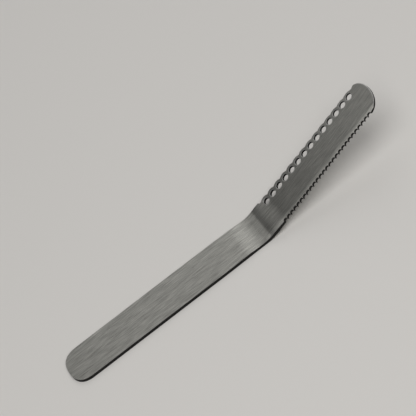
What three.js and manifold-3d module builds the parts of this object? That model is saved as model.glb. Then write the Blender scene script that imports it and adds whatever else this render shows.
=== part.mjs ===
// Butter spreader knife: one blank of stainless sheet, pierced, serrated, ground and bent at the neck.
// Millimetres, +Z up. +X runs from the handle end to the blade tip, +Y is the side with the row of holes.
// The origin is under the middle of the knife, on the surface that the handle lies on.
import * as THREE from 'three';
import { mergeVertices } from 'three/addons/utils/BufferGeometryUtils.js';
import Module from 'manifold-3d';

const wasm = await Module();
wasm.setup();

// Blank: lengths run along the middle of the sheet, from the middle of the bend
const WIDTH = 21.5;
const HANDLE_LENGTH = 121;
const BLADE_LENGTH = 90.1;
const HANDLE_THICKNESS = 2.1;
const NECK_THICKNESS = 1.5;
const TIP_THICKNESS = 1.2;
const EDGE_BREAK = 0.12;

// Handle end: a superellipse, a little squarer than a full round
const END_DEPTH = 10.5;
const END_SQUARENESS = 2.56;

// Waist: the sides draw in slightly before the bend
const WAIST_DEPTH = 0.3;
const WAIST_RUN = 27;
const WAIST_RECOVERY = 5;

// Bend between handle and blade, towards the upper face
const BEND_ANGLE = THREE.MathUtils.degToRad(22);
const BEND_RADIUS = 15.5;

// Neck: from the middle of the bend to the first cell of the hole row
const NECK_LENGTH = 9.6;
const NOTCH_LENGTH = 1.0;
const NOTCH_FLAT = 0.9;

// Row of round holes with countersunk rims
const HOLE_DIAMETER = 3.65;
const HOLE_WEB = 1.55;
const COUNTERSINK_WIDTH = 0.4;
const COUNTERSINK_DEPTH = 0.1;

// Scalloped edge outside the holes: one lobe for each hole, thinner towards the tip.
// The first crest stands CREST_SETBACK inside the edge of the handle.
const CREST_SETBACK = 0.05;
const LOBE_WALL_NECK = 1.7;
const LOBE_WALL_TIP = 1.0;
const LOBE_DEPTH = 0.65;
const LOBE_BREAK = 0.1;

// Serrated edge: round gullets with a narrow land between them
const GULLET_RADIUS = 1.2;
const GULLET_DEPTH = 0.95;
const TOOTH_LAND = 0.25;
const SERRATION_LEAD = 2.4;

// Rounded tip: a quarter of an ellipse on each side of its foremost point, which lies TIP_NOSE off centre.
// A dip and a shoulder lead from the last lobe of the scallops to the tip. Its edge is ground from above.
const TIP_NOSE = 1.2;
const HEEL_DEPTH = 8.4;
const TIP_DEPTH = 5.6;
const TIP_SHOULDER = 0.9;
const SHOULDER_SETBACK = 0.8;
const SHOULDER_FLAT = 1.0;
const SHOULDER_DIP = 0.25;
const BEVEL_WIDTH = 0.5;
const BEVEL_DROP = 0.15;

// Fineness of the round stretches
const END_STEPS = 20;
const WAIST_STEPS = 8;
const BEND_STEPS = 16;
const RAMP_STEPS = 6;
const LOBE_STEPS = 12;
const ROUND_STEPS = 2;
const HOLE_STEPS = 28;
const GULLET_STEPS = 30;
const TIP_STEPS = 20;

// Sizes that follow from the driving ones
const HALF_WIDTH = WIDTH / 2;
const BEND_HALF = BEND_RADIUS * BEND_ANGLE / 2;
const HOLE_RADIUS = HOLE_DIAMETER / 2;
const HOLE_PITCH = HOLE_DIAMETER + HOLE_WEB;
const HOLE_ROW_Y = HALF_WIDTH - CREST_SETBACK - LOBE_WALL_NECK - HOLE_RADIUS;
const TIP_START = BLADE_LENGTH - TIP_DEPTH;
const HOLE_COUNT = Math.floor((TIP_START - SHOULDER_FLAT - NECK_LENGTH) / HOLE_PITCH);
const ROW_END = NECK_LENGTH + HOLE_COUNT * HOLE_PITCH;
const THIN_END = NECK_LENGTH + HOLE_PITCH;
const GULLET_RISE = GULLET_RADIUS - GULLET_DEPTH;
const GULLET_HALF_MOUTH = Math.sqrt(GULLET_RADIUS ** 2 - GULLET_RISE ** 2);
const TOOTH_PITCH = 2 * GULLET_HALF_MOUTH + TOOTH_LAND;
const SERRATION_START = NECK_LENGTH + SERRATION_LEAD;
const HEEL_START = BLADE_LENGTH - HEEL_DEPTH;
const TOOTH_COUNT = Math.round((HEEL_START - SERRATION_START) / TOOTH_PITCH);
const TIP_TOP = HALF_WIDTH - TIP_SHOULDER;

const lerp = THREE.MathUtils.lerp;
const clamp = THREE.MathUtils.clamp;
const smooth = THREE.MathUtils.smoothstep;

// Thickness of the blank: full in the handle and the bend, thinning through the neck, then slowly to the tip
function thicknessAt(s) {
  if (s <= WAIST_RECOVERY) return HANDLE_THICKNESS;
  if (s <= THIN_END) {
    return lerp(HANDLE_THICKNESS, NECK_THICKNESS, smooth(s, WAIST_RECOVERY, THIN_END));
  }
  return lerp(NECK_THICKNESS, TIP_THICKNESS, (s - THIN_END) / (BLADE_LENGTH - THIN_END));
}

// Place of a point of the flat blank on the bent knife: s along it, y across it, h above its middle
function bent(s, y, h) {
  const along = clamp(s + BEND_HALF, 0, 2 * BEND_HALF);
  const turn = along / BEND_RADIUS;
  const inner = BEND_RADIUS - h;
  const past = Math.max(s - BEND_HALF, 0);
  const before = Math.min(s, -BEND_HALF);
  const x = before + inner * Math.sin(turn) + past * Math.cos(turn);
  const z = BEND_RADIUS - inner * Math.cos(turn) + past * Math.sin(turn);
  return new THREE.Vector3(x, y, z + HANDLE_THICKNESS / 2);
}

// Half width of the handle and neck, with the waist at the bend
function halfWidthAt(s) {
  const draw = smooth(s, -BEND_HALF - WAIST_RUN, -BEND_HALF) * (1 - smooth(s, -BEND_HALF, WAIST_RECOVERY));
  return HALF_WIDTH - WAIST_DEPTH * draw;
}

// One point of the outline: the side wall stands at s, y. The upper edge is cut back and dropped, round
// at 1 and flat at 0, and the lower edge is rounded by under. A fold line of the sheet goes through a crease.
function edgePoint(s, y, { back, drop, round = 0, under = 0, crease = false }) {
  return { s, y, back, drop, round, under, crease };
}

// Rounded edges of the handle, fading out below through the neck
function handleEdge(s) {
  const fade = s >= NECK_LENGTH ? 0 : 1 - smooth(s, BEND_HALF, NECK_LENGTH);
  return { back: EDGE_BREAK, drop: EDGE_BREAK, round: 1, under: EDGE_BREAK * fade };
}

// Edge of the tip: the rounding turns into the ground bevel towards the foremost point
function tipEdge(angle) {
  const growth = Math.cos(angle);
  return {
    back: lerp(EDGE_BREAK, BEVEL_WIDTH, growth),
    drop: lerp(EDGE_BREAK, BEVEL_DROP, growth),
    round: 1 - growth,
  };
}

// Handle end to bend on one side, from the middle of the end; side is -1 or +1
function handleSide(side) {
  const points = [];
  for (let i = 0; i <= END_STEPS; i += 1) {
    const angle = (i / END_STEPS) * Math.PI / 2;
    const s = -HANDLE_LENGTH + END_DEPTH * (1 - Math.cos(angle) ** (2 / END_SQUARENESS));
    const y = side * HALF_WIDTH * Math.sin(angle) ** (2 / END_SQUARENESS);
    points.push(edgePoint(s, y, handleEdge(s)));
  }
  for (let i = 0; i < WAIST_STEPS; i += 1) {
    const s = -BEND_HALF - WAIST_RUN * (1 - i / WAIST_STEPS);
    points.push(edgePoint(s, side * halfWidthAt(s), handleEdge(s)));
  }
  for (let i = 0; i <= BEND_STEPS; i += 1) {
    const s = BEND_HALF * (2 * i / BEND_STEPS - 1);
    points.push(edgePoint(s, side * halfWidthAt(s), { ...handleEdge(s), crease: true }));
  }
  points.push(edgePoint(WAIST_RECOVERY, side * HALF_WIDTH, { ...handleEdge(WAIST_RECOVERY), crease: true }));
  return points;
}

// Tip from one angle to another, 0 being the foremost point, negative on the serrated side
function tipArc(from, to) {
  const points = [];
  for (let i = 0; i <= TIP_STEPS; i += 1) {
    const angle = lerp(from, to, i / TIP_STEPS);
    const depth = angle < 0 ? HEEL_DEPTH : TIP_DEPTH;
    const half = angle < 0 ? HALF_WIDTH + TIP_NOSE : TIP_TOP - TIP_NOSE;
    const s = BLADE_LENGTH - depth * (1 - Math.cos(angle));
    const y = TIP_NOSE + half * Math.sin(angle);
    points.push(edgePoint(s, y, tipEdge(angle)));
  }
  return points;
}

// Crest line of the scallops: it falls quickly at the neck and levels out towards the tip
function crestAt(s) {
  const left = (ROW_END - s) / (ROW_END - NECK_LENGTH);
  return HOLE_ROW_Y + HOLE_RADIUS + lerp(LOBE_WALL_TIP, LOBE_WALL_NECK, left ** 2);
}

// Rounded step from one height to another, without its end points
function ramp(s0, y0, s1, y1, edge) {
  const points = [];
  for (let i = 1; i < RAMP_STEPS; i += 1) {
    const t = i / RAMP_STEPS;
    points.push(edgePoint(lerp(s0, s1, t), lerp(y0, y1, smooth(t, 0, 1)), edge));
  }
  return points;
}

// Scalloped edge with its notch at the neck and its shoulder at the tip, in the direction of the tip
function scallops() {
  const edge = { back: LOBE_BREAK, drop: LOBE_BREAK, round: 1 };
  const notchEnd = NECK_LENGTH - NOTCH_FLAT;
  const notchStart = notchEnd - NOTCH_LENGTH;
  const valleyNeck = crestAt(NECK_LENGTH) - LOBE_DEPTH;
  const valleyTip = crestAt(ROW_END) - LOBE_DEPTH;
  const dip = valleyTip - SHOULDER_DIP;
  const shoulder = tipArc(Math.acos(SHOULDER_SETBACK / TIP_DEPTH), 0);
  const points = [edgePoint(notchStart, HALF_WIDTH, handleEdge(notchStart))];
  points.push(...ramp(notchStart, HALF_WIDTH, notchEnd, valleyNeck, edge));
  points.push(edgePoint(notchEnd, valleyNeck, edge));
  for (let lobe = 0; lobe < HOLE_COUNT; lobe += 1) {
    for (let i = 0; i < LOBE_STEPS; i += 1) {
      const t = i / LOBE_STEPS;
      const s = NECK_LENGTH + (lobe + t) * HOLE_PITCH;
      const y = crestAt(s) - LOBE_DEPTH * (1 + Math.cos(2 * Math.PI * t)) / 2;
      const crease = s <= THIN_END + 1e-6 && (i === 0 || 2 * i === LOBE_STEPS);
      points.push(edgePoint(s, y, { ...edge, crease }));
    }
  }
  points.push(edgePoint(ROW_END, valleyTip, edge));
  points.push(edgePoint(ROW_END + SHOULDER_FLAT, dip, edge));
  points.push(...ramp(ROW_END + SHOULDER_FLAT, dip, shoulder[0].s, shoulder[0].y, edge));
  points.push(...shoulder.slice(0, -1));
  return points;
}

// Whole outline, counter-clockwise from above, starting at the middle of the handle end
function outline() {
  const thinning = [0, 0.5, 1].map((t) => {
    const s = NECK_LENGTH + t * HOLE_PITCH;
    return edgePoint(s, -HALF_WIDTH, { ...handleEdge(s), crease: true });
  });
  const lower = [...handleSide(-1), ...thinning];
  const tip = tipArc(-Math.PI / 2, 0);
  const upper = [...handleSide(1).slice(1), ...scallops()].reverse();
  return [...lower, ...tip, ...upper];
}

// Point set back from the outline along the bisector of its neighbours, or square across on a fold line
function setBack(points, i, distance) {
  const point = points[i];
  if (point.crease) return { s: point.s, y: point.y - Math.sign(point.y) * distance };
  const last = points[(i + points.length - 1) % points.length];
  const next = points[(i + 1) % points.length];
  const before = new THREE.Vector2(point.s - last.s, point.y - last.y).normalize();
  const after = new THREE.Vector2(next.s - point.s, next.y - point.y).normalize();
  const inward = new THREE.Vector2(-before.y - after.y, before.x + after.x).normalize();
  const mitre = distance / Math.max(inward.dot(new THREE.Vector2(-after.y, after.x)), 0.5);
  return { s: point.s + inward.x * mitre, y: point.y + inward.y * mitre };
}

// Rings of the side wall, from the lower face to the upper face
function wallRings(points) {
  const rings = [];
  const ring = (depthAt) => {
    rings.push(points.map((point, i) => {
      const { inset, low = 0, high = 0, up } = depthAt(point);
      const place = setBack(points, i, inset);
      const half = thicknessAt(place.s) / 2;
      return { ...place, h: up ? half - high : low - half };
    }));
  };
  for (let i = 0; i <= ROUND_STEPS; i += 1) {
    const angle = (i / ROUND_STEPS) * Math.PI / 2;
    ring(({ under }) => ({
      inset: under * (1 - Math.sin(angle)),
      low: under * (1 - Math.cos(angle)),
      up: false,
    }));
  }
  for (let i = 0; i <= ROUND_STEPS; i += 1) {
    const t = i / ROUND_STEPS;
    const angle = t * Math.PI / 2;
    ring(({ back, drop, round }) => ({
      inset: back * lerp(t, 1 - Math.cos(angle), round),
      high: drop * lerp(1 - t, 1 - Math.sin(angle), round),
      up: true,
    }));
  }
  return rings;
}

// Collects triangles of the flat blank and places them on the bent knife
class Skin {
  constructor() {
    this.positions = [];
  }

  triangle(a, b, c) {
    for (const point of [a, b, c]) {
      this.positions.push(...bent(point.s, point.y, point.h).toArray());
    }
  }

  // Wall between two rings
  band(lower, upper) {
    lower.forEach((point, i) => {
      const j = (i + 1) % lower.length;
      this.triangle(point, lower[j], upper[j]);
      this.triangle(point, upper[j], upper[i]);
    });
  }

  // Flat face inside a contour that runs counter-clockwise from above; up is true for the upper face
  face(contour, up) {
    const flat = contour.map((point) => new THREE.Vector2(point.s, point.y));
    for (const corners of THREE.ShapeUtils.triangulateShape(flat, [])) {
      const [a, b, c] = corners.map((index) => contour[index]);
      if (up) this.triangle(a, b, c);
      else this.triangle(a, c, b);
    }
  }

  geometry() {
    const loose = new THREE.BufferGeometry();
    loose.setAttribute('position', new THREE.Float32BufferAttribute(this.positions, 3));
    return loose;
  }
}

// Leaves out points that coincide with the one before
function distinct(points) {
  return points.filter((point, i) => {
    const last = points[(i + points.length - 1) % points.length];
    return Math.hypot(point.s - last.s, point.y - last.y) > 1e-4;
  });
}

// Panels of one face between the fold lines, each a flat contour
function panels(points, ring) {
  const folds = points.map((point, i) => (point.crease ? i : -1)).filter((i) => i >= 0);
  const count = folds.length / 2;
  const lower = folds.slice(0, count);
  const upper = folds.slice(count).reverse();
  const faces = [[...ring.slice(upper[0]), ...ring.slice(0, lower[0] + 1)]];
  for (let i = 1; i < count; i += 1) {
    const near = ring.slice(lower[i - 1], lower[i] + 1);
    const far = ring.slice(upper[i], upper[i - 1] + 1);
    faces.push([...near, ...far]);
  }
  faces.push(ring.slice(lower[count - 1], upper[count - 1] + 1));
  return faces.map(distinct);
}

// The bent blank, before it is pierced and serrated
function blankGeometry() {
  const skin = new Skin();
  const points = outline();
  const rings = wallRings(points);
  for (let i = 1; i < rings.length; i += 1) skin.band(rings[i - 1], rings[i]);
  for (const contour of panels(points, rings[0])) skin.face(contour, false);
  for (const contour of panels(points, rings[rings.length - 1])) skin.face(contour, true);
  return skin.geometry();
}

// Round cutter standing square on the blade at s, y: a drill with a countersink that opens at the upper face
function cutterGeometry(s, y, radius, sinkWidth, sinkDepth, steps) {
  const face = thicknessAt(s) / 2;
  const clear = HANDLE_THICKNESS;
  const profile = [
    new THREE.Vector2(0, -face - clear),
    new THREE.Vector2(radius, -face - clear),
    new THREE.Vector2(radius, face - sinkDepth),
    new THREE.Vector2(radius + sinkWidth * (1 + clear / sinkDepth), face + clear),
    new THREE.Vector2(0, face + clear),
  ];
  const cutter = new THREE.LatheGeometry(profile, steps);
  const place = bent(s, y, 0);
  return cutter.rotateX(Math.PI / 2).rotateY(-BEND_ANGLE).translate(place.x, place.y, place.z);
}

// Closed solid of a geometry, with its shared corners merged and its flat slivers left out
function solidOf(geometry) {
  const bare = new THREE.BufferGeometry();
  bare.setAttribute('position', geometry.getAttribute('position'));
  bare.setIndex(geometry.index);
  const merged = mergeVertices(bare, 1e-4);
  const triVerts = [];
  for (let i = 0; i < merged.index.count; i += 3) {
    const corners = [0, 1, 2].map((k) => merged.index.getX(i + k));
    if (new Set(corners).size === 3) triVerts.push(...corners);
  }
  return new wasm.Manifold(new wasm.Mesh({
    numProp: 3,
    vertProperties: merged.getAttribute('position').array,
    triVerts: new Uint32Array(triVerts),
  }));
}

// The blank with its row of holes and its serrated edge cut out
function knifeGeometry() {
  let knife = solidOf(blankGeometry());
  for (let i = 0; i < HOLE_COUNT; i += 1) {
    const s = NECK_LENGTH + (i + 0.5) * HOLE_PITCH;
    const y = HOLE_ROW_Y;
    const drill = cutterGeometry(s, y, HOLE_RADIUS, COUNTERSINK_WIDTH, COUNTERSINK_DEPTH, HOLE_STEPS);
    knife = knife.subtract(solidOf(drill));
  }
  for (let i = 0; i < TOOTH_COUNT; i += 1) {
    const s = SERRATION_START + (i + 0.5) * TOOTH_PITCH;
    const y = -HALF_WIDTH - GULLET_RISE;
    const wheel = cutterGeometry(s, y, GULLET_RADIUS, EDGE_BREAK, EDGE_BREAK, GULLET_STEPS);
    knife = knife.subtract(solidOf(wheel));
  }
  const { vertProperties, triVerts } = knife.getMesh();
  const geometry = new THREE.BufferGeometry();
  geometry.setAttribute('position', new THREE.Float32BufferAttribute(vertProperties, 3));
  geometry.setIndex([...triVerts]);
  return geometry;
}

// Brushed stainless steel, satin along the length
const brushedSteel = new THREE.MeshStandardMaterial({ color: 0x8b8a84, roughness: 0.38, metalness: 1 });

function spreaderKnife() {
  const geometry = knifeGeometry();
  geometry.computeBoundingBox();
  const { min, max } = geometry.boundingBox;
  geometry.translate(-(min.x + max.x) / 2, -(min.y + max.y) / 2, -min.z);
  geometry.computeVertexNormals();
  const mesh = new THREE.Mesh(geometry, brushedSteel);
  mesh.name = 'spreader_knife';
  return mesh;
}

const knife = new THREE.Group();
knife.add(spreaderKnife());

export default knife;
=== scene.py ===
# Butter spreader knife of brushed stainless steel, lying on a pale floor
import math

import bmesh
import bpy
from mathutils import Matrix, Vector


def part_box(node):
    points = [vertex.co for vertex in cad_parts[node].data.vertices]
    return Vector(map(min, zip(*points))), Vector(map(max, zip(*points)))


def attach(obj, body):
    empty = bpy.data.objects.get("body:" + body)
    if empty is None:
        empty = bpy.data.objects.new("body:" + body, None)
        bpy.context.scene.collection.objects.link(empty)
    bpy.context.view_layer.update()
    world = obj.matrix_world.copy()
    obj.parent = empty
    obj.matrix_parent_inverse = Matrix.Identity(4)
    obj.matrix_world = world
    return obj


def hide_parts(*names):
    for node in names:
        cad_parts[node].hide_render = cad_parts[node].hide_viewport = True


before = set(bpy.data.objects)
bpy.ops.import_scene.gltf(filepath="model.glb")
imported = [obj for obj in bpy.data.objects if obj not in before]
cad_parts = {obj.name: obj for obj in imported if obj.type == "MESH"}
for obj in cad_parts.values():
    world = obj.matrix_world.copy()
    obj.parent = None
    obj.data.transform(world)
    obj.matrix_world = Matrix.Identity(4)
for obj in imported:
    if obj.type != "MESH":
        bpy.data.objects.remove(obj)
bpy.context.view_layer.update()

knife_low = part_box("spreader_knife")[0]

# The knife is modelled in millimetres; lengths run along the sheet from the middle of the bend
MILLIMETRE = 0.001

# Handle and its rounded end
WIDTH = 21.5
HALF_WIDTH = WIDTH / 2
HANDLE_LENGTH = 121.0
HANDLE_THICKNESS = 2.1
END_DEPTH = 10.5
END_PROFILE = 0.582

# Bend, and the waist that it draws in
BEND_ANGLE = math.radians(22)
BEND_RADIUS = 15.5
BEND_HALF = BEND_RADIUS * BEND_ANGLE / 2
FOLD_PARTS = 24
WAIST_DEPTH = 0.3
WAIST_RUN = 27.0
WAIST_RECOVERY = 5.0
WAIST_PARTS = 12

# Dip that the press leaves in the upper face before the bend
PRESS_START = -14.5
PRESS_LOW = -4.5
PRESS_END = 1.5
PRESS_DIP = 0.3
PRESS_PARTS = 18

# Neck with its notch
NECK_LENGTH = 9.6
LOWER_NECK_PARTS = 16
UPPER_NECK_PARTS = 12
NOTCH_LEAD = 0.4
NOTCH_START = 7.7
NOTCH_END = 8.7
NOTCH_PARTS = 8

# Row of countersunk holes, and the scallops outside it
HOLE_RADIUS = 1.825
HOLE_PITCH = 5.2
HOLE_COUNT = 14
HOLE_ROW_Y = 7.175
ROW_END = NECK_LENGTH + HOLE_COUNT * HOLE_PITCH
COUNTERSINK_WIDTH = 0.4
COUNTERSINK_DEPTH = 0.1
LOBE_WALL_NECK = 1.7
LOBE_WALL_TIP = 1.0
LOBE_DEPTH_NECK = 1.0
LOBE_DEPTH_TIP = 0.55
LOBE_PARTS = 16

# Gullets between the teeth
GULLET_RADIUS = 1.1
GULLET_RISE = 0.05
GULLET_COUNT = 27
GULLET_PITCH = 2.5973
SERRATION_START = 12.0

# Tip, with its heel on the side of the teeth and its shoulder on the side of the holes
BLADE_LENGTH = 90.05
TIP_RADIUS = HALF_WIDTH - 0.01
TIP_NOSE = 1.2
TIP_TOP = HALF_WIDTH - 0.9
TIP_DEPTH = 5.6
TIP_START = BLADE_LENGTH - TIP_DEPTH
HEEL_DEPTH = 8.4
HEEL_START = BLADE_LENGTH - HEEL_DEPTH
SHOULDER_DIP = 0.25
SHOULDER_START = ROW_END + 1.0
SHOULDER_END = TIP_START + 0.8
SHOULDER_PARTS = 10
SHOULDER_SIDE_POINTS = 8
SHOULDER_SIDE_SHARE = SHOULDER_SIDE_POINTS / SHOULDER_PARTS

# Thinning of the sheet through the neck, and then to the tip
NECK_THICKNESS = 1.5
TIP_THICKNESS = 1.2
NECK_SET = 0.12
THIN_START = 4.0
THIN_END = NECK_LENGTH + HOLE_PITCH
THIN_PARTS = 12

# Rims: broken edges, and the bevel ground on the tip
EDGE_ROUND = 0.12
LOBE_ROUND = 0.1
BEVEL_WIDTH = 0.5
BEVEL_DROP = 0.15
BEVEL_FULL = BLADE_LENGTH - 1.0
BEVEL_RUN_IN = 0.5
RIM_ANGLE = 1.0

# Strip beside the teeth whose colour is lightened: a painted highlight
HIGHLIGHT_STRIP_INNER = -7.3
HIGHLIGHT_STRIP_OUTER = -9.8
HIGHLIGHT_STRIP_FULL = 5.0
HIGHLIGHT_STRIP_TONE = 0.8

# How close a point counts as being at a place: on outlines, on divided edges, on fold lines and cutters
NEAR = 0.1
TOUCHING = 0.01
HAIR = 0.001

# Most points that an edge is divided into at once
DIVIDE_LIMIT = 60

# Finishes, in the order of the knife's material slots
BRUSHED = 0
CUT_EDGE_AND_SHADE = 1
GROUND_AND_HIGHLIGHT = 2

# Upward part of a face's normal below which it is a wall, and above which it is level
WALL_SLOPE = 0.15
LEVEL_SLOPE = 0.98

# Sideways part of a face's normal past which its rim belongs to the serrated side, whose rims get painted
# shade
SIDE_SLOPE = -0.3

# Millimetres of sheet in one unit of the map that the grain follows
MAP_SIZE = 100

# Range that a noise pattern mostly keeps to
NOISE_LOW = 0.3
NOISE_HIGH = 0.7

# Colours
STEEL_COLOUR = (0.42, 0.414, 0.384, 1)
# Near-black colour of the cut edge: partly the sheared steel's own darker tone, partly painted shade
EDGE_AND_SHADE_DARK = (0.010, 0.0095, 0.009, 1)
EDGE_AND_SHADE_LIGHT = (0.022, 0.021, 0.020, 1)
# Lighter colour of the ground steel: partly its own finish, partly a painted highlight
GROUND_HIGHLIGHT_DARK = (0.50, 0.495, 0.475, 1)
GROUND_HIGHLIGHT_LIGHT = (0.62, 0.615, 0.592, 1)
FLOOR_COLOUR = (0.72, 0.70, 0.67, 1)
WORLD_COLOUR = (0.7, 0.7, 0.7, 1)
WORLD_STRENGTH = 0.14

# Soft boxes, in metres and watts; those of the back row have a left end, a right end and a power
BACK_BOX_Y = 0.85
BACK_BOX_Z = 0.87
BACK_BOX_AIM = 0.02
BACK_BOX_HEIGHT = 1.1
BACK_BOXES = {
    "back_box_fringe": (-0.56, -0.475, 0.078),
    "back_box_left": (-0.475, -0.3, 0.202),
    "back_box_middle": (-0.215, 0.12, 0.325),
    "back_box_right": (0.13, 0.75, 2.15),
}
FRONT_BOX_PLACE = (0, -0.7, 1.5)
FRONT_BOX_SIZE = (1.4, 1.4)
FRONT_BOX_POWER = 21

# Camera: degrees from straight in front of the knife, above the floor and about its own axis
CAMERA_SWING = -3.247
CAMERA_RISE = 48.135
CAMERA_ROLL = -34.977
CAMERA_TARGET = (0.0041, 0.02335, 0.011)
CAMERA_DISTANCE = 0.82
CAMERA_LENS = 138.46
CAMERA_SENSOR = 36


def smooth_step(value, start, end):
    """Goes from 0 at start to 1 at end, level at both."""
    t = min(max((value - start) / (end - start), 0.0), 1.0)
    return t * t * (3 - 2 * t)


def even_places(start, end, parts):
    """Ends of even parts from start to end."""
    return [start + (end - start) * i / parts for i in range(parts + 1)]


def half_width_at(s):
    """Half width of the handle and neck, drawn in a little at the bend."""
    drawn = smooth_step(s, -BEND_HALF - WAIST_RUN, -BEND_HALF)
    let_out = smooth_step(s, -BEND_HALF, WAIST_RECOVERY)
    return HALF_WIDTH - WAIST_DEPTH * drawn * (1 - let_out)


def blade_thickness_at(s):
    """Thickness of the even taper from the end of the neck to the tip."""
    t = (s - THIN_END) / (BLADE_LENGTH - THIN_END)
    return NECK_THICKNESS + t * (TIP_THICKNESS - NECK_THICKNESS)


def thickness_at(s):
    """Thickness of the sheet, which thins through the neck and then slowly to the tip."""
    if s > THIN_END:
        return blade_thickness_at(s)
    t = smooth_step(s, THIN_START, THIN_END)
    return HANDLE_THICKNESS + t * (NECK_THICKNESS - HANDLE_THICKNESS)


def set_down_at(s):
    """How far the middle of the sheet sinks through the neck, which is thinned more from above."""
    return NECK_SET * smooth_step(s, THIN_START, THIN_END)


def press_dip_at(s):
    """Slight dip that the press leaves in the upper face of the handle before the bend."""
    return PRESS_DIP * (smooth_step(s, PRESS_START, PRESS_LOW) - smooth_step(s, PRESS_LOW, PRESS_END))


def towards_neck(s):
    """Goes from 1 at the start of the scallops to 0 at their end, ever more slowly."""
    left = (ROW_END - s) / (ROW_END - NECK_LENGTH)
    return left * left


def crest_at(s):
    """Crest line of the scallops, which comes closer to the holes towards the tip."""
    wall = LOBE_WALL_TIP + (LOBE_WALL_NECK - LOBE_WALL_TIP) * towards_neck(s)
    return HOLE_ROW_Y + HOLE_RADIUS + wall


def lobe_depth_at(s):
    """Depth of the valleys between the scallops, which are deepest by the neck."""
    return LOBE_DEPTH_TIP + (LOBE_DEPTH_NECK - LOBE_DEPTH_TIP) * towards_neck(s)


def shoulder_at(t):
    """Place on the rise from the dip after the scallops, at 0, to the shoulder of the tip, at 1."""
    low = crest_at(ROW_END) - lobe_depth_at(ROW_END) - SHOULDER_DIP
    along = (SHOULDER_END - TIP_START) / TIP_DEPTH
    high = TIP_NOSE + (TIP_TOP - TIP_NOSE) * math.sqrt(1 - along * along)
    s = SHOULDER_START + t * (SHOULDER_END - SHOULDER_START)
    return s, low + (high - low) * smooth_step(t, 0, 1)


def rim_at(place):
    """How far the rim is rounded or ground back at a place of the flat blank."""
    s, y, h = place
    if h < 0:
        return EDGE_ROUND * (1 - smooth_step(s, BEND_HALF, NECK_LENGTH))
    if y > 0 and s < SHOULDER_END:
        return EDGE_ROUND + (LOBE_ROUND - EDGE_ROUND) * smooth_step(s, BEND_HALF, NOTCH_START)
    if y > 0:
        return LOBE_ROUND + (BEVEL_WIDTH - LOBE_ROUND) * smooth_step(s, SHOULDER_END, BEVEL_FULL)
    neck_round = EDGE_ROUND * (1 - smooth_step(s, NECK_LENGTH, SERRATION_START))
    return neck_round + BEVEL_WIDTH * smooth_step(s, HEEL_START, BEVEL_FULL)


def drop_at(place):
    """How far an upper rim falls for each millimetre of its width: less where the tip is ground."""
    s, y, h = place
    start = SHOULDER_END if y > 0 else HEEL_START
    ground = smooth_step(s, start - BEVEL_RUN_IN, start + BEVEL_RUN_IN)
    return 1 + (BEVEL_DROP / BEVEL_WIDTH - 1) * ground


def select_only(piece):
    """Makes one piece the only selected object and the active one."""
    bpy.ops.object.select_all(action="DESELECT")
    piece.select_set(True)
    bpy.context.view_layer.objects.active = piece


def start_editing(piece):
    """Opens one piece in edit mode."""
    select_only(piece)
    bpy.ops.object.mode_set(mode="EDIT")


def stop_editing():
    """Closes edit mode."""
    bpy.ops.object.mode_set(mode="OBJECT")


def select_points(piece, test):
    """Selects the points that pass the test in edit mode, with the edges and faces between them."""
    bpy.ops.mesh.select_mode(type="VERT")
    bpy.ops.mesh.select_all(action="DESELECT")
    mesh = bmesh.from_edit_mesh(piece.data)
    for point in mesh.verts:
        if test(point):
            point.select_set(True)
    mesh.select_flush_mode()
    bmesh.update_edit_mesh(piece.data)


def select_edges(piece, test):
    """Selects the edges that pass the test in edit mode."""
    bpy.ops.mesh.select_mode(type="EDGE")
    bpy.ops.mesh.select_all(action="DESELECT")
    mesh = bmesh.from_edit_mesh(piece.data)
    for edge in mesh.edges:
        if test(edge):
            edge.select_set(True)
    mesh.select_flush_mode()
    bmesh.update_edit_mesh(piece.data)


def apply_modifier(piece, kind, **settings):
    """Adds a modifier with these settings and applies it."""
    select_only(piece)
    modifier = piece.modifiers.new(kind.lower(), kind)
    for name, value in settings.items():
        setattr(modifier, name, value)
    bpy.ops.object.modifier_apply(modifier=modifier.name)


def give_finishes(piece):
    """Gives a piece one material slot for each finish."""
    for finish in finishes:
        piece.data.materials.append(finish)


def sheet_blank():
    """Flat outline of the knife: a plane with a rounded handle end and tip."""
    bpy.ops.object.select_all(action="DESELECT")
    middle = (BLADE_LENGTH - HANDLE_LENGTH) / 2
    bpy.ops.mesh.primitive_plane_add(size=1, location=(middle, 0, 0))
    blank = bpy.context.object
    blank.name = "brushed_knife"
    blank.scale = (HANDLE_LENGTH + BLADE_LENGTH, WIDTH, 1)
    bpy.ops.object.transform_apply(location=True, rotation=True, scale=True)
    give_finishes(blank)
    start_editing(blank)
    select_points(blank, lambda point: point.co.x < 0)
    bpy.ops.mesh.bevel(offset=END_DEPTH, segments=24, profile=END_PROFILE, affect="VERTICES")
    round_tip(blank)
    stop_editing()
    return blank


def round_tip(blank):
    """Rounds the blade's end of the blank, then stretches its two quarters to the heel and the shoulder."""
    tip_low = BLADE_LENGTH - TIP_RADIUS - NEAR
    select_points(blank, lambda point: point.co.x > BLADE_LENGTH - NEAR)
    bpy.ops.mesh.bevel(offset=TIP_RADIUS, segments=28, profile=0.5, affect="VERTICES")
    select_points(blank, lambda point: point.co.x > tip_low)
    bpy.ops.mesh.remove_doubles(threshold=0.05)
    quarters = ((-1, HEEL_DEPTH, HALF_WIDTH + TIP_NOSE), (1, TIP_DEPTH, TIP_TOP - TIP_NOSE))
    for side, depth, half in quarters:
        select_points(blank, lambda point: point.co.x > tip_low and point.co.y * side > NEAR)
        stretch = (depth / TIP_RADIUS, half / HALF_WIDTH, 1)
        bpy.ops.transform.resize(value=stretch, center_override=(BLADE_LENGTH, 0, 0))
    select_points(blank, lambda point: point.co.x > 0)
    bpy.ops.transform.translate(value=(0, TIP_NOSE, 0))


def waist_places():
    """Places along the handle where it draws in, up to the bend."""
    return even_places(-BEND_HALF - WAIST_RUN, -BEND_HALF, WAIST_PARTS)[:-1]


def lower_stations():
    """Points of the serrated side: waist, bend and neck."""
    neck = even_places(-BEND_HALF, NECK_LENGTH, LOWER_NECK_PARTS)
    return [(s, -half_width_at(s)) for s in waist_places() + neck]


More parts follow.
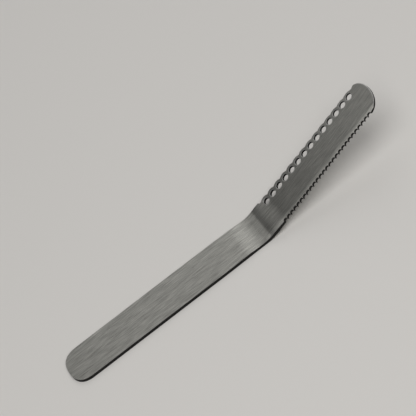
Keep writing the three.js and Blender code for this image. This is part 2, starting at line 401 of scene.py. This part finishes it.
def upper_stations():
    """Points of the other side: waist, bend, notch, scallops, and the dip before the shoulder."""
    neck = even_places(-BEND_HALF, NOTCH_START - NOTCH_LEAD, UPPER_NECK_PARTS)
    stations = [(s, half_width_at(s)) for s in waist_places() + neck]
    valley = crest_at(NECK_LENGTH) - lobe_depth_at(NECK_LENGTH)
    for s in even_places(NOTCH_START, NOTCH_END, NOTCH_PARTS):
        sunk = smooth_step(s, NOTCH_START, NOTCH_END)
        stations.append((s, HALF_WIDTH + (valley - HALF_WIDTH) * sunk))
    for i, s in enumerate(even_places(NECK_LENGTH, ROW_END, HOLE_COUNT * LOBE_PARTS)):
        from_crest = 2 * (i % LOBE_PARTS) / LOBE_PARTS - 1
        stations.append((s, crest_at(s) - lobe_depth_at(s) * from_crest ** 2))
    stations.extend(shoulder_at(i / SHOULDER_PARTS) for i in range(SHOULDER_SIDE_POINTS))
    return stations


def place_points(blank, side, stations):
    """Divides the long edge of one side that ends at the tip, and moves its new points to the stations."""
    end = TIP_START if side > 0 else HEEL_START

    def ends_at_tip(edge):
        low, high = sorted((point.co for point in edge.verts), key=lambda place: place.x)
        return abs(high.x - end) < TOUCHING and low.x < end - 2 * NEAR and high.y * side > 0

    select_edges(blank, ends_at_tip)
    bpy.ops.mesh.subdivide(number_cuts=len(stations))
    mesh = bmesh.from_edit_mesh(blank.data)
    divided = sorted((point for point in mesh.verts if point.select), key=lambda point: point.co.x)
    for point, (s, y) in zip(divided[1:-1], stations):
        point.co.x = s
        point.co.y = y
    bmesh.update_edit_mesh(blank.data)


def shape_shoulder(blank):
    """Moves the first points of the tip onto the end of the rise to the shoulder."""
    mesh = bmesh.from_edit_mesh(blank.data)
    low = TIP_START - TOUCHING
    shoulder = [point for point in mesh.verts if low < point.co.x < SHOULDER_END and point.co.y > 0]
    shoulder.sort(key=lambda point: point.co.x)
    for i, point in enumerate(shoulder):
        t = SHOULDER_SIDE_SHARE + (1 - SHOULDER_SIDE_SHARE) * i / len(shoulder)
        point.co.x, point.co.y = shoulder_at(t)
    bmesh.update_edit_mesh(blank.data)


def shape_sides(blank):
    """Gives the long sides their waist, and the blade its notch, scallops and shoulder."""
    start_editing(blank)
    place_points(blank, -1, lower_stations())
    stations = upper_stations()
    for first in range(0, len(stations), DIVIDE_LIMIT):
        place_points(blank, 1, stations[first:first + DIVIDE_LIMIT])
    shape_shoulder(blank)
    stop_editing()


def thicken(blank):
    """Gives the flat outline the handle's thickness, and cuts its rims back."""
    apply_modifier(blank, "SOLIDIFY", thickness=HANDLE_THICKNESS, offset=0)
    start_editing(blank)
    mesh = bmesh.from_edit_mesh(blank.data)
    weight = mesh.edges.layers.float.new("bevel_weight_edge")
    for edge in mesh.edges:
        if len(edge.link_faces) == 2 and edge.calc_face_angle() > RIM_ANGLE:
            middle = (edge.verts[0].co + edge.verts[1].co) / 2
            edge[weight] = rim_at(middle) / BEVEL_WIDTH
    bmesh.update_edit_mesh(blank.data)
    stop_editing()
    apply_modifier(blank, "BEVEL", width=BEVEL_WIDTH, segments=2, profile=0.25, limit_method="WEIGHT",
                   use_clamp_overlap=False)


def fold_lines():
    """Places of the fold lines across the bend."""
    return even_places(-BEND_HALF, BEND_HALF, FOLD_PARTS)


def thin_sheet(knife):
    """Cuts lines across the sheet, dips its upper face before the bend, and thins it towards the tip."""
    press_lines = even_places(PRESS_START, -BEND_HALF, PRESS_PARTS)[:-1]
    neck_lines = even_places(THIN_START, THIN_END, THIN_PARTS)
    start_editing(knife)
    for s in press_lines + fold_lines() + neck_lines:
        bpy.ops.mesh.select_all(action="SELECT")
        bpy.ops.mesh.bisect(plane_co=(s, 0, 0), plane_no=(1, 0, 0), threshold=0.0001)
    mesh = bmesh.from_edit_mesh(knife.data)
    upper_face = HANDLE_THICKNESS / 2
    for point in mesh.verts:
        thinned = (HANDLE_THICKNESS - thickness_at(point.co.x)) / 2
        if point.co.z > 0:
            fallen = (upper_face - point.co.z) * drop_at(point.co)
            point.co.z = upper_face - fallen - thinned - press_dip_at(point.co.x)
        else:
            point.co.z += thinned
        point.co.z -= set_down_at(point.co.x)
    bmesh.update_edit_mesh(knife.data)
    stop_editing()


def mark_finishes(knife):
    """Gives the walls a cut edge's near-black finish, partly painted shade, and the serrated side's rims the
    same near black as painted shade; the tip's bevel gets a ground finish with a painted highlight.
    """
    for face in knife.data.polygons:
        s, y, h = face.center
        slope = abs(face.normal.z)
        on_tip = s > SHOULDER_END
        # The sloped rims on the serrated side get the cut edge's near-black colour as painted shade
        serrated_rim_painted_dark = slope < LEVEL_SLOPE and face.normal.y < SIDE_SLOPE and not on_tip
        if slope < WALL_SLOPE or serrated_rim_painted_dark:
            face.material_index = CUT_EDGE_AND_SHADE
        elif slope < LEVEL_SLOPE and h > 0 and on_tip:
            face.material_index = GROUND_AND_HIGHLIGHT
        else:
            face.material_index = BRUSHED


def round_cutters(name, s, y, radius, sink_width, sink_depth, sink_finish, pitch, count):
    """Row of round cutters that open at the upper face: one is modelled, and the rest are copies of it."""
    face = blade_thickness_at(s) / 2 - NECK_SET
    below = HANDLE_THICKNESS
    above = 0.15
    wall_top = face - sink_depth
    bpy.ops.object.select_all(action="DESELECT")
    bpy.ops.mesh.primitive_cylinder_add(
        vertices=48, radius=radius, depth=wall_top + below, location=(s, y, (wall_top - below) / 2))
    cutters = bpy.context.object
    cutters.name = name
    bpy.ops.object.transform_apply(location=True, rotation=True, scale=True)
    start_editing(cutters)
    select_points(cutters, lambda point: point.co.z > wall_top - HAIR)
    bpy.ops.mesh.extrude_region_move(TRANSFORM_OT_translate={"value": (0, 0, sink_depth + above)})
    flare = 1 + sink_width * (1 + above / sink_depth) / radius
    bpy.ops.transform.resize(value=(flare, flare, 1), center_override=(s, y, 0))
    stop_editing()
    give_finishes(cutters)
    for part in cutters.data.polygons:
        # Walls of the cutters get the cut edge's near-black colour, which is partly painted shade
        part.material_index = CUT_EDGE_AND_SHADE if abs(part.normal.z) < WALL_SLOPE else sink_finish
    fall = (blade_thickness_at(s + pitch) - blade_thickness_at(s)) / 2
    apply_modifier(cutters, "ARRAY", count=count, use_relative_offset=False, use_constant_offset=True,
                   constant_offset_displace=(pitch, 0, fall))
    return cutters


def cut_out(knife, cutters):
    """Cuts a row of cutters out of the knife and takes the cutters away."""
    apply_modifier(knife, "BOOLEAN", operation="DIFFERENCE", solver="EXACT", object=cutters,
                   material_mode="INDEX")
    bpy.data.objects.remove(cutters)


def two_passes(start, pitch, count):
    """First place and count of two passes over every second place of a row, so that cutters stay apart."""
    return ((start + pitch / 2, count - count // 2), (start + pitch * 3 / 2, count // 2))


def drill_holes(knife):
    """Drills the row of countersunk holes."""
    for first, count in two_passes(NECK_LENGTH, HOLE_PITCH, HOLE_COUNT):
        drills = round_cutters(
            "hole_drills", first, HOLE_ROW_Y, HOLE_RADIUS, sink_width=COUNTERSINK_WIDTH,
            sink_depth=COUNTERSINK_DEPTH, sink_finish=GROUND_AND_HIGHLIGHT, pitch=2 * HOLE_PITCH, count=count)
        cut_out(knife, drills)


def cut_gullets(knife):
    """Cuts the round gullets that leave the teeth between them."""
    for first, count in two_passes(SERRATION_START, GULLET_PITCH, GULLET_COUNT):
        # The gullets' chamfers get the cut edge's near-black colour as painted shade
        wheels = round_cutters(
            "gullet_wheels", first, -HALF_WIDTH - GULLET_RISE, GULLET_RADIUS, sink_width=EDGE_ROUND,
            sink_depth=EDGE_ROUND, sink_finish=CUT_EDGE_AND_SHADE, pitch=2 * GULLET_PITCH, count=count)
        cut_out(knife, wheels)


def keep_sheet_places(knife):
    """Keeps where each point lies on the flat sheet, so that the grain follows the bend."""
    places = [tuple(point.co) for point in knife.data.vertices]
    attribute = knife.data.attributes.new("sheet", "FLOAT_VECTOR", "POINT")
    for item, place in zip(attribute.data, places):
        item.vector = place
    sheet_uv = knife.data.uv_layers.new(name="sheet_uv")
    for corner, item in zip(knife.data.loops, sheet_uv.data):
        s, y, h = places[corner.vertex_index]
        item.uv = (s / MAP_SIZE, y / MAP_SIZE)


def fold(knife):
    """Bends the blade up, one fold line after another from the blade's side."""
    flat = [point.co.x for point in knife.data.vertices]
    lines = fold_lines()
    start_editing(knife)
    for s in reversed(lines):
        turn = BEND_ANGLE / FOLD_PARTS
        if s in (lines[0], lines[-1]):
            turn /= 2
        # Points on the line itself get half of its turn
        for nearest in (s + HAIR, s - HAIR):
            select_points(knife, lambda point: flat[point.index] > nearest)
            bpy.ops.transform.rotate(value=turn / 2, orient_axis="Y", center_override=(s, 0, 0))
    stop_editing()


def bring_to_frame(knife):
    """Brings the knife from millimetres to its real size and lays it where it belongs."""
    bend_x = knife_low.x + HANDLE_LENGTH * MILLIMETRE
    knife.location = (bend_x, 0, HANDLE_THICKNESS / 2 * MILLIMETRE)
    knife.scale = (MILLIMETRE, MILLIMETRE, MILLIMETRE)
    select_only(knife)
    bpy.ops.object.transform_apply(location=True, rotation=True, scale=True)


def smooth_faces(knife):
    """Shades the faces smooth, apart from sharp edges, with the large faces kept flat."""
    select_only(knife)
    bpy.ops.object.shade_smooth_by_angle(angle=math.radians(32))
    apply_modifier(knife, "WEIGHTED_NORMAL", mode="FACE_AREA", weight=60, keep_sharp=True)


def new_finish(name):
    """Node material with its nodes, its links and its shader."""
    finish = bpy.data.materials.new(name)
    finish.use_nodes = True
    nodes = finish.node_tree.nodes
    return finish, nodes, finish.node_tree.links, nodes["Principled BSDF"]


def sheet_place(nodes):
    """Place on the flat sheet, in millimetres."""
    place = nodes.new("ShaderNodeAttribute")
    place.attribute_name = "sheet"
    return place.outputs["Vector"]


def sheet_noise(nodes, links, stretch, tilt, detail, roughness):
    """Noise on the flat sheet, stretched and then turned, so that its marks follow the bend."""
    mapping = nodes.new("ShaderNodeMapping")
    mapping.inputs["Scale"].default_value = stretch
    mapping.inputs["Rotation"].default_value = (0, 0, tilt)
    links.new(sheet_place(nodes), mapping.inputs["Vector"])
    pattern = nodes.new("ShaderNodeTexNoise")
    pattern.inputs["Scale"].default_value = 1
    pattern.inputs["Detail"].default_value = detail
    pattern.inputs["Roughness"].default_value = roughness
    links.new(mapping.outputs["Vector"], pattern.inputs["Vector"])
    return pattern.outputs["Fac"]


def ramp(nodes, links, value, start, end, low, high, kind="SMOOTHSTEP"):
    """Goes from low at start to high at end."""
    node = nodes.new("ShaderNodeMapRange")
    node.interpolation_type = kind
    node.inputs["From Min"].default_value = start
    node.inputs["From Max"].default_value = end
    node.inputs["To Min"].default_value = low
    node.inputs["To Max"].default_value = high
    links.new(value, node.inputs["Value"])
    return node.outputs["Result"]


def spread(nodes, links, pattern, low, high):
    """Spreads a noise pattern evenly between two values."""
    return ramp(nodes, links, pattern, NOISE_LOW, NOISE_HIGH, low, high, "LINEAR")


def colour_spread(nodes, links, pattern, dark, light):
    """Spreads a noise pattern between two colours."""
    node = nodes.new("ShaderNodeValToRGB")
    first, last = node.color_ramp.elements
    first.position = NOISE_LOW
    first.color = dark
    last.position = NOISE_HIGH
    last.color = light
    links.new(pattern, node.inputs["Fac"])
    return node.outputs["Color"]


def product(nodes, links, first, second):
    """Product of two values."""
    node = nodes.new("ShaderNodeMath")
    node.operation = "MULTIPLY"
    links.new(first, node.inputs[0])
    links.new(second, node.inputs[1])
    return node.outputs["Value"]


def painted_highlight_strip(nodes, links):
    """Painted highlight in a strip beside the teeth, which lightens the brushed blade's colour: 1 outside
    it, more inside.
    """
    place = nodes.new("ShaderNodeSeparateXYZ")
    links.new(sheet_place(nodes), place.inputs["Vector"])
    across = ramp(nodes, links, place.outputs["Y"], HIGHLIGHT_STRIP_OUTER, HIGHLIGHT_STRIP_INNER, HIGHLIGHT_STRIP_TONE, 0)
    along = ramp(nodes, links, place.outputs["X"], -BEND_HALF, HIGHLIGHT_STRIP_FULL, 0, 1)
    strip = nodes.new("ShaderNodeMath")
    strip.operation = "MULTIPLY_ADD"
    links.new(across, strip.inputs[0])
    links.new(along, strip.inputs[1])
    strip.inputs[2].default_value = 1
    return strip.outputs["Value"]


def toned_steel(nodes, links, tone):
    """Colour of the brushed steel, lightened or darkened by a tone."""
    colour = nodes.new("ShaderNodeMix")
    colour.data_type = "RGBA"
    colour.blend_type = "MULTIPLY"
    colour.inputs["Factor"].default_value = 1
    # Inputs 6 and 7 are the node's two colours, and output 2 is their product
    colour.inputs[6].default_value = STEEL_COLOUR
    links.new(tone, colour.inputs[7])
    return colour.outputs[2]


def make_brushed_steel():
    """Satin stainless steel with fine streaks along the sheet, and a painted highlight in a strip beside the
    teeth.
    """
    finish, nodes, links, shader = new_finish("brushed_steel")
    fine = sheet_noise(nodes, links, stretch=(0.12, 4.8, 0.2), tilt=0.5, detail=3, roughness=0.6)
    wide = sheet_noise(nodes, links, stretch=(0.04, 0.5, 0.2), tilt=-0.35, detail=3, roughness=0.5)
    patch = sheet_noise(nodes, links, stretch=(0.07, 0.16, 0.2), tilt=0.3, detail=2, roughness=0.5)
    tone = spread(nodes, links, fine, 0.56, 1.44)
    tone = product(nodes, links, tone, spread(nodes, links, wide, 0.95, 1.05))
    tone = product(nodes, links, tone, spread(nodes, links, patch, 0.97, 1.03))
    # Painted highlight: the strip beside the teeth is made lighter
    tone = product(nodes, links, tone, painted_highlight_strip(nodes, links))
    links.new(toned_steel(nodes, links, tone), shader.inputs["Base Color"])
    links.new(spread(nodes, links, fine, 0.28, 0.36), shader.inputs["Roughness"])
    shader.inputs["Metallic"].default_value = 1
    shader.inputs["Anisotropic"].default_value = 0.8
    shader.inputs["Anisotropic Rotation"].default_value = 0.25
    along = nodes.new("ShaderNodeTangent")
    along.direction_type = "UV_MAP"
    along.uv_map = "sheet_uv"
    links.new(along.outputs["Tangent"], shader.inputs["Tangent"])
    bump = nodes.new("ShaderNodeBump")
    bump.inputs["Strength"].default_value = 0.08
    bump.inputs["Distance"].default_value = 0.0001
    links.new(fine, bump.inputs["Height"])
    links.new(bump.outputs["Normal"], shader.inputs["Normal"])
    return finish


def make_cut_edge_and_shade():
    """Sheared side of the sheet, darkened to near black: partly the cut edge's own darker steel, partly
    painted shade; with faint marks across it.
    """
    finish, nodes, links, shader = new_finish("cut_edge_and_painted_shade")
    marks = sheet_noise(nodes, links, stretch=(2.0, 2.0, 0.3), tilt=0, detail=4, roughness=0.6)
    links.new(colour_spread(nodes, links, marks, EDGE_AND_SHADE_DARK, EDGE_AND_SHADE_LIGHT), shader.inputs["Base Color"])
    links.new(spread(nodes, links, marks, 0.5, 0.65), shader.inputs["Roughness"])
    shader.inputs["Specular IOR Level"].default_value = 0.12
    return finish


def make_ground_steel_and_highlight():
    """Ground steel of the tip's bevel and the countersinks, brighter than the brushed faces: partly the
    ground finish's own lighter tone, partly a painted highlight.
    """
    finish, nodes, links, shader = new_finish("ground_steel_and_painted_highlight")
    marks = sheet_noise(nodes, links, stretch=(1.2, 1.2, 1.2), tilt=0, detail=5, roughness=0.6)
    links.new(colour_spread(nodes, links, marks, GROUND_HIGHLIGHT_DARK, GROUND_HIGHLIGHT_LIGHT), shader.inputs["Base Color"])
    links.new(spread(nodes, links, marks, 0.32, 0.42), shader.inputs["Roughness"])
    shader.inputs["Metallic"].default_value = 1
    return finish


finishes = (make_brushed_steel(), make_cut_edge_and_shade(), make_ground_steel_and_highlight())

knife = sheet_blank()
shape_sides(knife)
thicken(knife)
thin_sheet(knife)
mark_finishes(knife)
drill_holes(knife)
cut_gullets(knife)
keep_sheet_places(knife)
fold(knife)
bring_to_frame(knife)
smooth_faces(knife)

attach(knife, "root")
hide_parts("spreader_knife")


def add_floor():
    """Plain pale floor that the handle lies on."""
    bpy.ops.object.select_all(action="DESELECT")
    bpy.ops.mesh.primitive_plane_add(size=6, location=(0, 0, 0))
    floor = bpy.context.object
    floor.name = "pale_floor"
    finish, nodes, links, shader = new_finish("pale_floor")
    shader.inputs["Base Color"].default_value = FLOOR_COLOUR
    shader.inputs["Roughness"].default_value = 0.9
    shader.inputs["Specular IOR Level"].default_value = 0.1
    floor.data.materials.append(finish)


def add_soft_box(name, place, target, size, power):
    """Soft box at a place, turned to a target."""
    lamp = bpy.data.lights.new(name, "AREA")
    lamp.shape = "RECTANGLE"
    lamp.size, lamp.size_y = size
    lamp.energy = power
    holder = bpy.data.objects.new(name, lamp)
    bpy.context.scene.collection.objects.link(holder)
    holder.location = place
    holder.rotation_euler = (Vector(target) - Vector(place)).to_track_quat("-Z", "Y").to_euler()


def add_studio_light():
    """Row of soft boxes behind the knife, which its faces mirror, one in front of it, and a dim world."""
    for name, (left, right, power) in BACK_BOXES.items():
        x = (left + right) / 2
        place = (x, BACK_BOX_Y, BACK_BOX_Z)
        add_soft_box(name, place, (x, 0, BACK_BOX_AIM), (right - left, BACK_BOX_HEIGHT), power)
    add_soft_box("front_box", FRONT_BOX_PLACE, (0, 0, 0), FRONT_BOX_SIZE, FRONT_BOX_POWER)
    world = bpy.data.worlds.new("studio")
    world.use_nodes = True
    background = world.node_tree.nodes["Background"]
    background.inputs["Color"].default_value = WORLD_COLOUR
    background.inputs["Strength"].default_value = WORLD_STRENGTH
    bpy.context.scene.world = world


def add_camera():
    """Camera at the photograph's viewing angle, rolled so that the knife runs up to the right."""
    lens = bpy.data.cameras.new("camera")
    lens.sensor_width = CAMERA_SENSOR
    lens.lens = CAMERA_LENS
    camera = bpy.data.objects.new("camera", lens)
    bpy.context.scene.collection.objects.link(camera)
    swing = Matrix.Rotation(math.radians(CAMERA_SWING), 4, "Z")
    tilt = Matrix.Rotation(math.radians(90 - CAMERA_RISE), 4, "X")
    roll = Matrix.Rotation(math.radians(CAMERA_ROLL), 4, "Z")
    step_back = Matrix.Translation((0, 0, CAMERA_DISTANCE))
    camera.matrix_world = Matrix.Translation(CAMERA_TARGET) @ swing @ tilt @ roll @ step_back
    bpy.context.scene.camera = camera


add_floor()
add_studio_light()
add_camera()
bpy.context.scene.view_settings.view_transform = "Standard"
